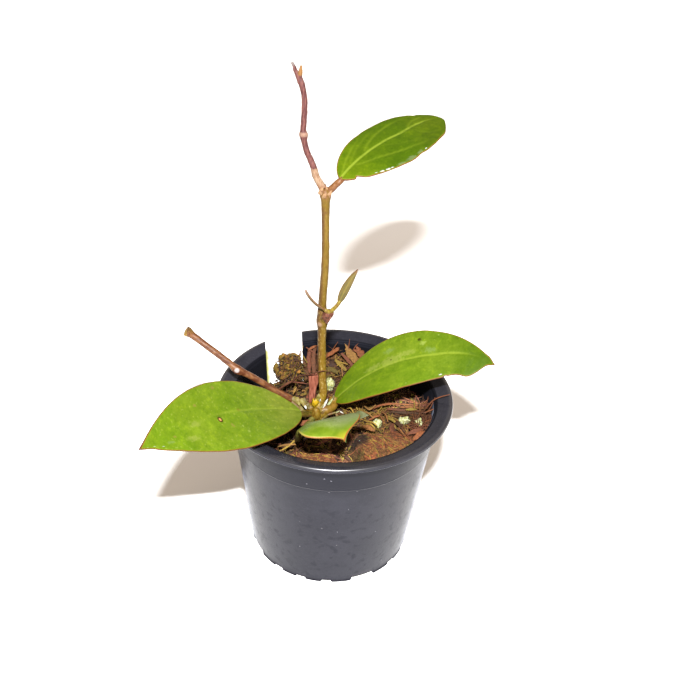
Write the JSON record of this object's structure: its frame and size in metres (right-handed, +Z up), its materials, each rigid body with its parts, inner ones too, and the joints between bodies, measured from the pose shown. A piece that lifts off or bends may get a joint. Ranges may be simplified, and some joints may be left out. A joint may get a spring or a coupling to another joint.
{
  "type": "potted climbing hoya",
  "caption": "Young climbing plant with long fleshy leaves on a bare stem, rooted in a coir and bark mix in a tapered black nursery pot with a blank label.",
  "frame": {"origin": "centre of the pot's flat underside, on the surface that it stands on", "axes": "+Z up along the pot's axis, the viewer in front on the -Y side, the right-hand leaf towards +X"},
  "size_m": [0.1329, 0.1287, 0.2107],
  "materials": {
    "pot_plastic": "thin moulded black plastic, slightly dusty, satin on the rim",
    "medium": "loose damp mix of coir fibre, bark and husk crumbs",
    "coir": "coconut husk chunk, fibrous",
    "moss": "curled dark brown-green husk and moss",
    "bark": "red-brown torn bark",
    "perlite": "white porous mineral grain",
    "label_plastic": "pale plastic strip, blank",
    "stem": "smooth olive-tan living stem with pale flecks",
    "dry_stem": "dried purple-brown stem with pale peeling skin",
    "vine": "older red-brown vine, cut square",
    "leaf": "thick satin green leaf, pale midrib, red-brown margin",
    "young_leaf": "small olive-bronze young leaf"
  },
  "bodies": {
    "root": {"pot": "pot_plastic", "growing_medium": "medium", "coir_chunk_right": "coir", "coir_chunk_left": "coir", "moss_clump": "moss", "bark_splinter": "bark", "perlite_1": "perlite", "perlite_2": "perlite", "perlite_3": "perlite", "perlite_4": "perlite", "perlite_5": "perlite", "perlite_6": "perlite", "perlite_7": "perlite", "plant_label": "label_plastic", "main_stem": "stem", "dry_tip": "dry_stem", "cut_vine": "vine", "leaf_right": "leaf", "leaf_left": "leaf", "leaf_top": "leaf", "leaf_front": "leaf", "shoot_leaf_right": "young_leaf", "shoot_leaf_left": "young_leaf"}
  },
  "joints": []
}
